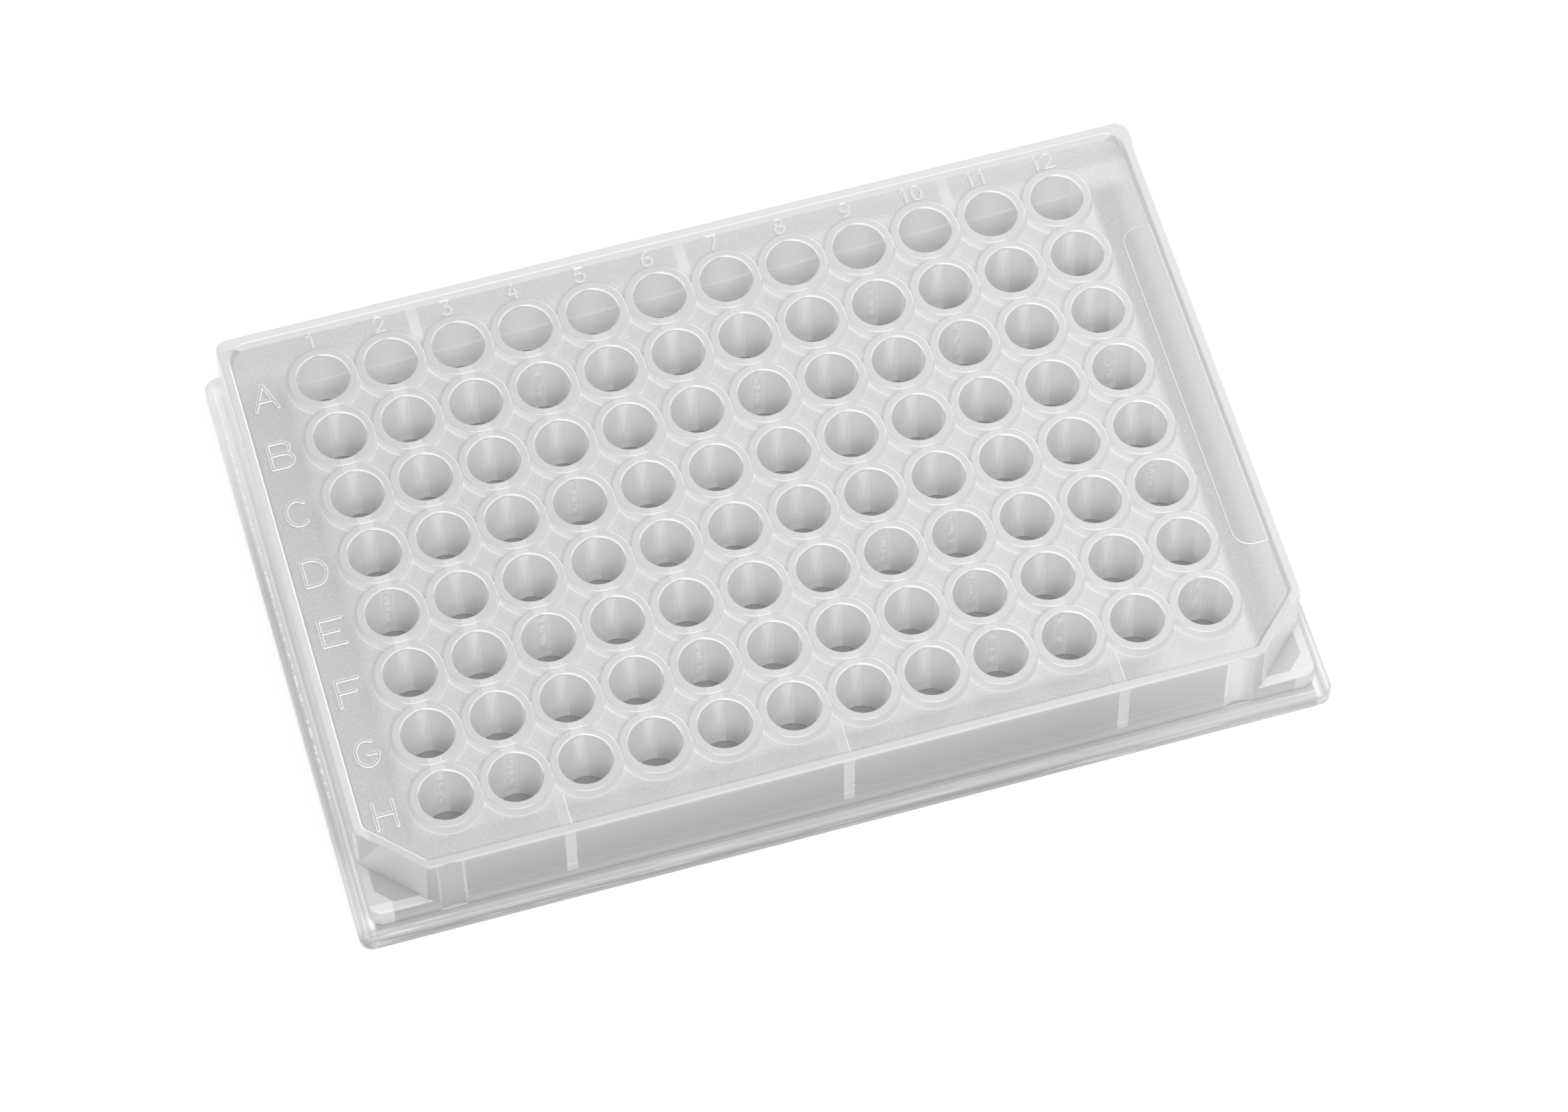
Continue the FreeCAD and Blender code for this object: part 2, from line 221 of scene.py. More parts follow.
# ---- Tubes and collars ----
# Each well is a tube that hangs below the deck and ends above it in a raised collar. The tubes are
# moulded with the tray, one steel core for each, so the collars run into each other over a neck.
# The first tube and the bore that its core leaves are turned once, then repeated over the grid.
openings = {opening["name"]: opening["box_m"] for opening in frame["record"]["physics"]["openings"]}


def opening_centre(name):
    """The middle, in plan, of an opening's box in the frame's record."""
    near, far = openings[name]
    return Vector(((near[0] + far[0]) / 2, (near[1] + far[1]) / 2, 0))


first_well = opening_centre("well_a1")
column_step = opening_centre("well_a2") - first_well
row_step = opening_centre("well_b1") - first_well
columns = round(2 * abs(first_well.x) / column_step.length) + 1
rows = round(2 * abs(first_well.y) / row_step.length) + 1
well_depth = 10.7 * MM
floor_thickness = 1.1 * MM
floor_height = collar_height - well_depth
tube_foot = floor_height - floor_thickness
SIDES = 40


def turned(name, profile):
    """A closed round solid about the upright through the origin, from its (radius, height) steps."""
    bpy.ops.object.select_all(action="DESELECT")
    (radius, foot), *steps = profile
    bpy.ops.mesh.primitive_circle_add(
        vertices=SIDES, radius=radius, fill_type="NGON", location=(0, 0, foot))
    piece = bpy.context.object
    piece.name = piece.data.name = name
    bpy.ops.object.transform_apply(location=True)
    bpy.ops.object.mode_set(mode="EDIT")
    bpy.ops.mesh.select_mode(type="FACE")
    before, height = radius, foot
    for radius, top in steps:
        raise_face(top - height, (radius / before, radius / before))
        before, height = radius, top
    bpy.ops.object.mode_set(mode="OBJECT")
    return piece


def at_place(piece, place, name):
    """A copy of a piece with a mesh of its own, moved to its place in that mesh."""
    copy = piece.copy()
    copy.data = piece.data.copy()
    copy.name = copy.data.name = name
    copy.data.transform(Matrix.Translation(place))
    bpy.context.collection.objects.link(copy)
    return copy


foot_radius = 4.2 * MM
neck_radius = 4.39 * MM
collar_radius = 4.55 * MM
mouth_radius = 3.393 * MM
base_radius = 3.2 * MM
mouth_round = 0.25 * MM
# Radius and height from the foot up: rounded foot, leaning side, flare, collar, rounded rim.
tube_profile = [
    (foot_radius - 0.25 * MM, tube_foot),
    (foot_radius, tube_foot + 0.25 * MM),
    (neck_radius, deck_underside + 0.5 * MM),
    (collar_radius + 0.42 * MM, deck_height - 0.15 * MM),
    (collar_radius + 0.30 * MM, deck_height + 0.04 * MM),
    (collar_radius + 0.24 * MM, deck_height + 0.15 * MM),
    (collar_radius, collar_height - 0.17 * MM),
    (collar_radius - 0.05 * MM, collar_height - 0.05 * MM),
    (collar_radius - 0.17 * MM, collar_height),
]
bore_profile = [(base_radius, floor_height), (mouth_radius, collar_height - mouth_round)]
ROUND_STEPS = 4
for step in range(1, ROUND_STEPS + 1):
    turn = math.radians(90 * step / ROUND_STEPS)
    bore_profile.append((
        mouth_radius + mouth_round * (1 - math.cos(turn)),
        collar_height - mouth_round * (1 - math.sin(turn))))
bore_profile.append((mouth_radius + mouth_round, collar_height + mouth_round))
tube = turned("tube", tube_profile)
bore = turned("bore", bore_profile)
added = []
taken = []
for column in range(columns):
    for row in range(rows):
        place = first_well + column_step * column + row_step * row
        added.append(at_place(tube, place, "tube_copy"))
        taken.append(at_place(bore, place, "bore_copy"))

# ---- Webs and ribs ----
# Straight webs under the deck tie each row and each column of tubes together, and three ribs at
# the back and three at the front join the outer rows to the long walls, against sagging as it cools.
web_foot = tube_foot + 1.45 * MM
rib_foot = tube_foot + 0.75 * MM
half_web = 0.7 * MM
half_rib = 0.675 * MM
web_round = 0.3 * MM
inside_deck = deck_underside + 0.55 * MM


def bar(name, half_x, half_y, centre, foot):
    """A straight bar from its foot up into the deck, its lower edges rounded by the mould's cutter."""
    piece = outline(name, half_x, half_y, foot)
    raise_face(inside_deck - foot)
    choose(piece, "EDGE", lambda edge: level_edge(edge, foot))
    bpy.ops.mesh.bevel(offset=web_round, segments=2, affect="EDGES")
    bpy.ops.object.mode_set(mode="OBJECT")
    piece.data.transform(Matrix.Translation(centre))
    return piece


for row in range(rows):
    centre = Vector((0, first_well.y, 0)) + row_step * row
    added.append(bar("row_web", -first_well.x, half_web, centre, web_foot))
for column in range(columns):
    centre = Vector((first_well.x, 0, 0)) + column_step * column
    added.append(bar("column_web", half_web, first_well.y, centre, web_foot))
rib_spacing = 4 * column_step.x
rib_end = wall_y - wall / 2
for place in (-1, 0, 1):
    for side in (-1, 1):
        centre = Vector((rib_spacing * place, side * (first_well.y + rib_end) / 2, 0))
        added.append(bar("rib", half_rib, (rib_end - first_well.y) / 2, centre, rib_foot))

# ---- Finger scoops ----
# A shallow upright scoop at each end of the front wall, from the step to the rim, where a gripper
# or a fingernail finds the plate. The mould's wall bulges there, so it is cut with a cylinder.
scoop_radius = 3.8 * MM
scoop_depth = 0.43 * MM
scoop_from_end = 10.65 * MM
scoop_foot = skirt_height + 0.1 * MM
scoop_profile = [(scoop_radius, scoop_foot), (scoop_radius, collar_height)]
scoop = turned("scoop", scoop_profile)
for side in (-1, 1):
    place = Vector((side * (wall_x - scoop_from_end), scoop_depth - wall_y - scoop_radius, 0))
    taken.append(at_place(scoop, place, "scoop_copy"))

# ---- Letters and numbers ----
# Row letters down the left margin and column numbers along the back, cut as shallow strokes in the
# mould so that they stand 0.2 mm proud. Each is drawn with a round cutter, so strokes end round.
mark_foot = deck_height - 0.3 * MM
mark_top = deck_height + 0.2 * MM


def bow(x, y, half_width, half_height, start, end):
    """Points along part of an oval, from one angle to another in degrees."""
    turns = [math.radians(start + (end - start) * step / 12) for step in range(13)]
    return [(x + half_width * math.cos(turn), y + half_height * math.sin(turn)) for turn in turns]


# Each letter's and digit's strokes, in shares of its width and height from the lower left.
GLYPHS = {
    "A": [[(0, 0), (0.5, 1)], [(0.5, 1), (1, 0)], [(0.17, 0.33), (0.83, 0.33)]],
    "B": [[(0, 0), (0, 1)], [(0, 1), *bow(0.55, 0.765, 0.38, 0.235, 90, -90), (0, 0.53)],
          [(0, 0.53), *bow(0.6, 0.265, 0.4, 0.265, 90, -90), (0, 0)]],
    "C": [bow(0.5, 0.5, 0.5, 0.5, 48, 312)],
    "D": [[(0, 0), (0, 1)], [(0, 1), *bow(0.42, 0.5, 0.58, 0.5, 90, -90), (0, 0)]],
    "E": [[(0, 0), (0, 1)], [(0, 1), (1, 1)], [(0, 0.52), (0.8, 0.52)], [(0, 0), (1, 0)]],
    "F": [[(0, 0), (0, 1)], [(0, 1), (1, 1)], [(0, 0.52), (0.8, 0.52)]],
    "G": [bow(0.5, 0.5, 0.5, 0.5, 58, 354), [(0.98, 0.45), (0.52, 0.45)]],
    "H": [[(0, 0), (0, 1)], [(1, 0), (1, 1)], [(0, 0.52), (1, 0.52)]],
    "0": [bow(0.5, 0.5, 0.5, 0.5, 90, 270), bow(0.5, 0.5, 0.5, 0.5, -90, 90)],
    "1": [[(0.5, 0), (0.5, 1)], [(0.5, 1), (0.14, 0.76)]],
    "2": [bow(0.5, 0.7, 0.48, 0.3, 165, -28), [(0.93, 0.56), (0, 0)], [(0, 0), (1, 0)]],
    "3": [[(0.05, 1), (0.95, 1)], [(0.95, 1), (0.45, 0.61)], bow(0.47, 0.31, 0.5, 0.3, 95, -150)],
    "4": [[(0.5, 1), (0, 0.34)], [(0, 0.34), (1, 0.34)], [(0.7, 0.66), (0.7, 0)]],
    "5": [[(0.95, 1), (0.18, 1)], [(0.18, 1), (0.06, 0.56)], bow(0.46, 0.33, 0.52, 0.33, 135, -150)],
    "6": [bow(0.5, 0.3, 0.5, 0.3, 0, 180), bow(0.5, 0.3, 0.5, 0.3, 180, 360),
          bow(1, 0.3, 1, 0.72, 180, 108)],
    "7": [[(0, 1), (1, 1)], [(1, 1), (0.3, 0)]],
    "8": [bow(0.5, 0.77, 0.38, 0.23, -90, 90), bow(0.5, 0.77, 0.38, 0.23, 90, 270),
          bow(0.5, 0.27, 0.5, 0.27, -90, 90), bow(0.5, 0.27, 0.5, 0.27, 90, 270)],
    "9": [bow(0.5, 0.7, 0.5, 0.3, 0, 180), bow(0.5, 0.7, 0.5, 0.3, 180, 360),
          bow(0, 0.7, 1, 0.72, 0, -72)],
}


def stroke(path, half_width):
    """A raised stroke along a path of points, with round ends and a soft upper edge."""
    softness = 0.36 * half_width
    points = [Vector(point) for point in path]
    right = []
    for k, point in enumerate(points):
        ahead = points[min(k + 1, len(points) - 1)] - points[max(k - 1, 0)]
        ahead.normalize()
        right.append(Vector((ahead.y, -ahead.x)) * half_width)
    swings = [Matrix.Rotation(math.radians(turn), 2) for turn in (30, 60, 90, 120, 150)]
    sides = [point + side for point, side in zip(points, right)]
    sides += [points[-1] + swing @ right[-1] for swing in swings]
    sides += [point - side for point, side in reversed(list(zip(points, right)))]
    sides += [points[0] - swing @ right[0] for swing in swings]
    bpy.ops.object.select_all(action="DESELECT")
    bpy.ops.mesh.primitive_circle_add(vertices=len(sides), fill_type="NGON")
    piece = bpy.context.object
    for vertex, side in zip(piece.data.vertices, sides):
        vertex.co = (*side, mark_foot)
    bpy.ops.object.mode_set(mode="EDIT")
    bpy.ops.mesh.select_mode(type="FACE")
    raise_face(mark_top - mark_foot)
    choose(piece, "EDGE", lambda edge: level_edge(edge, mark_top))
    bpy.ops.mesh.bevel(offset=softness, segments=2, affect="EDGES")
    bpy.ops.object.mode_set(mode="OBJECT")
    return piece


def letter(mark, centre, width, height, line):
    """Strokes for one letter or digit, centred on a spot, with its outer width and height."""
    across_x, along_y = width - line, height - line
    for path in GLYPHS[mark]:
        drawn = [(centre[0] + (x - 0.5) * across_x, centre[1] + (y - 0.5) * along_y) for x, y in path]
        added.append(stroke(drawn, line / 2))


letter_x = first_well.x - 7.85 * MM
letter_width = 3.4 * MM
narrow_width = 3.0 * MM
letter_height = 4.2 * MM
letter_line = 0.46 * MM
for row, mark in enumerate("ABCDEFGH"):
    middle = (letter_x, first_well.y + row_step.y * row)
    letter(mark, middle, narrow_width if mark == "H" else letter_width, letter_height, letter_line)
number_y = first_well.y + 6.6 * MM
digit_width = 1.55 * MM
digit_height = 2.45 * MM
digit_line = 0.3 * MM
digit_spacing = 1.6 * MM
for column in range(columns):
    digits = str(column + 1)
    for place, digit in enumerate(digits):
        shift = (place - (len(digits) - 1) / 2) * digit_spacing
        middle = (first_well.x + column_step.x * column + shift, number_y)
        letter(digit, middle, digit_width, digit_height, digit_line)

# ---- Marking panel ----
# A flat pad on the right margin that carries a label on the real plate, here left bare. It is a
# step in the mould's deck face, 0.15 mm proud, with round corners toward the wells.
panel_left = 56.05 * MM
panel_right = recess_x + 0.5 * MM
panel_middle_y = 0.15 * MM
panel_corner = 2.4 * MM
panel_top = deck_height + 0.15 * MM
half_panel_x = (panel_right - panel_left) / 2
half_panel_y = 24.85 * MM
panel_round = 0.08 * MM
panel = outline("panel", half_panel_x, half_panel_y, mark_foot)
raise_face(panel_top - mark_foot)


def left_upright(edge):
    """True for an upright edge on the left of the panel, toward the wells."""
    start, end = (vert.co for vert in edge.verts)
    return abs((end - start).normalized().z) > 0.9 and start.x < 0


choose(panel, "EDGE", left_upright)
bpy.ops.mesh.bevel(offset=panel_corner, segments=8, affect="EDGES")
choose(panel, "EDGE", lambda edge: level_edge(edge, panel_top))
bpy.ops.mesh.bevel(offset=panel_round, segments=2, affect="EDGES")
bpy.ops.object.mode_set(mode="OBJECT")
panel.data.transform(Matrix.Translation((panel_left + half_panel_x, panel_middle_y, 0)))
added.append(panel)

# ---- Pin marks ----
# Faint rings where the mould's pins push the plate out, one on the front deck and one on each front
# rib's wall. The steel pin sits a hair deep, so each leaves a low ring round a dimple.
ring_radius = 0.42 * MM
dimple_radius = 0.2 * MM
ring_height = 0.07 * MM
ring_slope = 0.06 * MM
pin_mark = turned("pin_mark", [
    (ring_radius, -0.4 * MM), (ring_radius, 0.03 * MM), (ring_radius - ring_slope, ring_height),
    (dimple_radius + ring_slope, ring_height), (dimple_radius, 0.02 * MM)])
deck_mark_place = Vector((-16.87 * MM, -37.35 * MM, deck_height))
added.append(at_place(pin_mark, deck_mark_place, "deck_mark"))
mark_height = 7.6 * MM
off_middle = 0.4 * MM
face_y = -wall_y + (mark_height - skirt_height) * draft
to_front = Matrix.Rotation(math.radians(90), 4, "X")
for place in (-1, 0, 1):
    mark = at_place(pin_mark, Vector(), "wall_mark")
    mark_x = rib_spacing * place + off_middle
    mark.data.transform(Matrix.Translation((mark_x, face_y, mark_height)) @ to_front)
    added.append(mark)

# ---- The moulding as a whole ----
# The tray, tubes, webs and marks leave the mould as one piece, so they are joined here and the bores
# and scoops cut out. The plastic is milky natural polypropylene: the light that comes through it,
# and the light and shade of the lamps, are painted as tones, place by place. It is glossy where the
# steel was polished and matt on the deck.
combine(tray, [recess], "DIFFERENCE")
combine(tray, added, "UNION")
combine(tray, taken, "DIFFERENCE")
for spare in (tube, bore, scoop, pin_mark):
    bpy.data.objects.remove(spare)
bpy.ops.object.shade_smooth_by_angle(angle=math.radians(32))
even = tray.modifiers.new("even_shading", "WEIGHTED_NORMAL")
even.keep_sharp = True
bpy.ops.object.modifier_apply(modifier=even.name)


def linear(colour):
    """An sRGB hex colour as the linear red, green, blue and alpha that shaders take."""
    shares = [int(colour[k:k + 2], 16) / 255 for k in (1, 3, 5)]
    return (*(s / 12.92 if s < 0.04045 else ((s + 0.055) / 1.055) ** 2.4 for s in shares), 1)


def new_material(name):
    """A material with no nodes yet."""
    material = bpy.data.materials.new(name)
    material.use_nodes = True
    material.node_tree.nodes.clear()
    return material


def add(material, kind, inputs, **settings):
    """Adds a node, gives its inputs a value or a link each, and returns its first output in use."""
    made = material.node_tree.nodes.new(kind)
    for name, value in settings.items():
        setattr(made, name, value)
    for name, value in inputs.items():
        if isinstance(value, bpy.types.NodeSocket):
            material.node_tree.links.new(value, made.inputs[name])
        else:
            made.inputs[name].default_value = value
    return next((output for output in made.outputs if output.enabled), None)


MIX, MATH, VECTOR, RANGE, NOISE, PARTS = (
    "ShaderNodeMix", "ShaderNodeMath", "ShaderNodeVectorMath", "ShaderNodeMapRange",
    "ShaderNodeTexNoise", "ShaderNodeSeparateXYZ")
pp = new_material("moulded_natural_polypropylene")

# Where a spot is: in millimetres on the plate, out from its middle, and round the nearest well.
texture = add(pp, "ShaderNodeTexCoord", {}).node
spot = add(pp, VECTOR, {0: texture.outputs["Object"], "Scale": 1 / MM}, operation="SCALE")
across, along, height = add(pp, PARTS, {0: spot}).node.outputs
out_from_middle = add(pp, VECTOR, {0: spot}, operation="ABSOLUTE")
far_x, far_y, _ = add(pp, PARTS, {0: out_from_middle}).node.outputs
pitch = column_step.x / MM
last_x, last_y = -first_well.x / MM, first_well.y / MM
well = add(pp, VECTOR, {0: spot, 1: (pitch, pitch, 100)}, operation="SNAP")
well = add(pp, VECTOR, {0: well, 1: (pitch / 2, pitch / 2, 0)}, operation="ADD")
well = add(pp, VECTOR, {0: well, 1: (-last_x, -last_y, 0)}, operation="MAXIMUM")
well = add(pp, VECTOR, {0: well, 1: (last_x, last_y, 0)}, operation="MINIMUM")
from_well = add(pp, VECTOR, {0: spot, 1: well}, operation="SUBTRACT")
to_right = add(pp, PARTS, {0: from_well})
in_plan = add(pp, VECTOR, {0: from_well, 1: (1, 1, 0)}, operation="MULTIPLY")
radius = add(pp, VECTOR, {0: in_plan}, operation="LENGTH")
off_axes = add(pp, VECTOR, {0: in_plan}, operation="ABSOLUTE")
off_x, off_y, _ = add(pp, PARTS, {0: off_axes}).node.outputs
off_web = add(pp, MATH, {0: off_x, 1: off_y}, operation="MINIMUM")
# Directions toward the lamps, along which the rounded edges get painted highlights.
toward_light = add(pp, VECTOR, {0: in_plan, 1: (0.77, 0.64, 0)}, operation="DOT_PRODUCT")
from_left = add(pp, VECTOR, {0: in_plan, 1: (-0.64, 0.77, 0)}, operation="DOT_PRODUCT")
half_spacing = rib_spacing / 2 / MM
rib = add(pp, MATH, {0: across, 1: half_spacing, 2: -half_spacing}, operation="WRAP")
off_rib = add(pp, MATH, {0: rib}, operation="ABSOLUTE")
facing = texture.outputs["Normal"]
faces_right, faces_back, faces_up = add(pp, PARTS, {0: facing}).node.outputs
# How much a face turns toward the back right lamp, for its painted highlight.
faces_lamp = add(pp, VECTOR, {0: facing, 1: (0.7, 0.7, 0.0)}, operation="DOT_PRODUCT")

# How far out of the wall a spot is, and how far down a line that runs over the wall, step and skirt.
out_x = add(pp, MATH, {0: far_x, 1: wall_x / MM}, operation="SUBTRACT")
out_y = add(pp, MATH, {0: far_y, 1: wall_y / MM}, operation="SUBTRACT")
outward = add(pp, MATH, {0: out_x, 1: out_y}, operation="MAXIMUM")
beyond = add(pp, MATH, {0: outward, 1: 0}, operation="MAXIMUM")
down = add(pp, MATH, {0: height, 1: beyond}, operation="SUBTRACT")
LOWEST, HIGHEST = -1.8, 14.2
down_share = add(pp, RANGE, {0: down, 1: LOWEST, 2: HIGHEST})

# The painted light of a wedge where a web meets a tube, seen through the bore: it narrows to a point
# near the floor.
wedge = add(pp, RANGE, {0: height, 1: collar_height / MM, 2: 5.8, 3: 0.68, 4: -0.1})
wedge = add(pp, MATH, {0: wedge, 1: off_web}, operation="SUBTRACT")

# In the back row a straight, leaning line of light crosses each bore.
LINE_SLOPE = 0.5615
over_line = add(pp, VECTOR, {0: from_well, 1: (0, 1, LINE_SLOPE)}, operation="DOT_PRODUCT")
over_line = add(pp, MATH, {0: over_line, 1: LINE_SLOPE * collar_height / MM}, operation="SUBTRACT")

# A band of painted light where the ledge's plastic is the wall below seen end on, round the inside of
# each front corner.
band_x = add(pp, MATH, {0: far_x, 1: 60.75}, operation="SUBTRACT")
band_y = add(pp, MATH, {0: far_y, 1: 39.75}, operation="SUBTRACT")
band_round = add(pp, VECTOR, {0: out_from_middle, 1: (0.707, 0.707, 0)}, operation="DOT_PRODUCT")
band = add(pp, MATH, {0: band_x, 1: band_y}, operation="MAXIMUM")
band_corner = add(pp, MATH, {0: band_round, 1: 69.57}, operation="SUBTRACT")
band = add(pp, MATH, {0: band, 1: band_corner}, operation="MAXIMUM")

# A cut wall is lighter below a line that leans across it, up from its foot by the end wall.
LEAN = 3.0
lean_foot = 61.9 * LEAN + ledge_height / MM
lean = add(pp, MATH, {0: far_x, 1: -LEAN, 2: lean_foot}, operation="MULTIPLY_ADD")
lean = add(pp, MATH, {0: lean, 1: height}, operation="SUBTRACT")

# Slow clouds in the milk, a fine grain on the frosted deck, streaks down the sides, and noise that
# breaks up the painted highlights on the step and the skirt.
cloud = add(pp, NOISE, {"Vector": spot, "Scale": 0.12, "Detail": 2.0})
grain = add(pp, NOISE, {"Vector": spot, "Scale": 3.4, "Detail": 1.0})
drawn_out = add(pp, VECTOR, {0: spot, 1: (1.6, 0.012, 1.6)}, operation="MULTIPLY")
streak = add(pp, NOISE, {"Vector": drawn_out, "Scale": 1.0, "Detail": 2.0})
chance = add(pp, "ShaderNodeTexWhiteNoise", {"Vector": well}, noise_dimensions="3D")
bubble = add(pp, NOISE, {"Vector": spot, "Scale": 1.3, "Detail": 0.0})
step_highlight = add(pp, NOISE, {"Vector": spot, "Scale": 1.7, "Detail": 1.0})
along_front = add(pp, VECTOR, {0: spot, 1: (0.09, 2.0, 2.0)}, operation="MULTIPLY")
gleam = add(pp, NOISE, {"Vector": along_front, "Scale": 1.0, "Detail": 1.0})

# Painted light and shade: down the long walls the light falls away to the step, then flashes back from
# the skirt. The short walls are painted lighter, in bands.
long_wall = [
    (14.0, "#BDBDBE"), (13.6, "#B3B3B4"), (12.5, "#ADADAE"), (10.5, "#A7A7A8"), (8.5, "#A3A3A4"),
    (6.5, "#A1A1A2"), (5.2, "#A7A7A8"), (4.2, "#B2B2B3"), (3.6, "#BFBFC0"), (3.1, "#BDBDBE"),
    (2.7, "#B9B9BA"), (2.45, "#A4A4A5"), (2.05, "#A7A7A8"), (1.85, "#B6B6B7"), (1.7, "#BCBCBD"),
    (1.3, "#B6B6B7"), (0.7, "#B6B6B7"), (0.3, "#A2A2A3"), (0.0, "#929293"), (-0.5, "#929293"),
    (-0.75, "#9C9C9D"), (-1.0, "#A8A8A9"), (-1.3, "#AAAAAB"), (-1.5, "#9A9A9B"), (-1.7, "#909091"),
]
short_wall = [
    (13.8, "#C6C6C7"), (13.2, "#CACACB"), (12.0, "#DFDFE0"), (10.5, "#D7D7D8"), (8.0, "#D4D4D5"),
    (6.0, "#C3C3C4"), (4.0, "#C9C9CA"), (3.0, "#DADADB"), (2.5, "#F4F4F5"), (2.35, "#F4F4F5"),
    (2.2, "#E6E6E7"), (1.9, "#E4E4E5"), (1.7, "#DCDCDD"), (1.5, "#CBCBCC"), (1.2, "#C6C6C7"),
    (0.9, "#CCCCCD"), (0.4, "#D8D8D9"), (-0.5, "#D0D0D1"),
]
painted_wall_lights = []
for stops in (long_wall, short_wall):
    painted_wall_light = add(pp, "ShaderNodeValToRGB", {0: down_share})
    stop_marks = painted_wall_light.node.color_ramp.elements
    stop_marks.remove(stop_marks[1])
    for k, (place, tone) in enumerate(reversed(stops)):
        share = (place - LOWEST) / (HIGHEST - LOWEST)
        stop = stop_marks.new(share) if k else stop_marks[0]
        stop.position = share
        stop.color = linear(tone)
    painted_wall_lights.append(painted_wall_light)
on_long, on_short = painted_wall_lights

# The tone of each place, painted in order: a colour, how much of it shows, and the limits between
# which it fades in, each as a value, where it starts and where it is full.
side_light = add(pp, MIX, {0: cloud, 6: linear("#BBBBBC"), 7: linear("#C1C1C2")}, data_type="RGBA")
colour = side_light
in_bore = [(radius, 3.55, 3.45), (height, 3.5, 3.6), (height, 14.12, 14.06)]
on_deck = [(height, 12.9, 12.95), (height, 13.5, 13.4)]
flat_deck = [(height, 12.95, 12.97), (height, 13.05, 13.03)]
on_rim = [(height, 13.5, 13.8)]
back_bore = [(along, 26.9, 27), *in_bore]
inner_bore = [(far_x, 51, 50.9), (along, 27, 26.9), *in_bore]
on_edge = [(faces_up, 0.1, 0.3), (faces_up, 0.99, 0.95)]
front = [(along, 0, -1)]
on_ledge = [(height, 5.3, 5.5), (height, 5.9, 5.8), (band_round, 67.1, 67.2), *front]
on_flank = [(radius, 4.3, 4.4), (radius, 5.2, 5.1), (height, 12.9, 12.95), (height, 14.3, 14.2),
            (faces_up, 0.99, 0.93)]
cut_wall = [(faces_back, -0.6, -0.65), (faces_back, -0.82, -0.78), (height, 5.6, 5.8),
            (height, 13.9, 13.7), (far_x, 54.0, 54.2), *front]
on_short_wall = [(out_x, -0.5, -0.4), (height, 14.0, 13.9)]
on_long_wall = [(out_y, -0.5, -0.4), (height, 14.0, 13.9)]
on_scoop = [(out_y, -0.9, -0.8), (height, 2.6, 2.7), (height, 13.9, 13.8), *front]
scoop_sill = [(far_x, 49.4, 49.5), (far_x, 53.3, 53.2), (height, 2.55, 2.58), (height, 2.7, 2.65),
              *front]
by_mark = [(height, 13.02, 13.04), (height, 13.25, 13.22)]
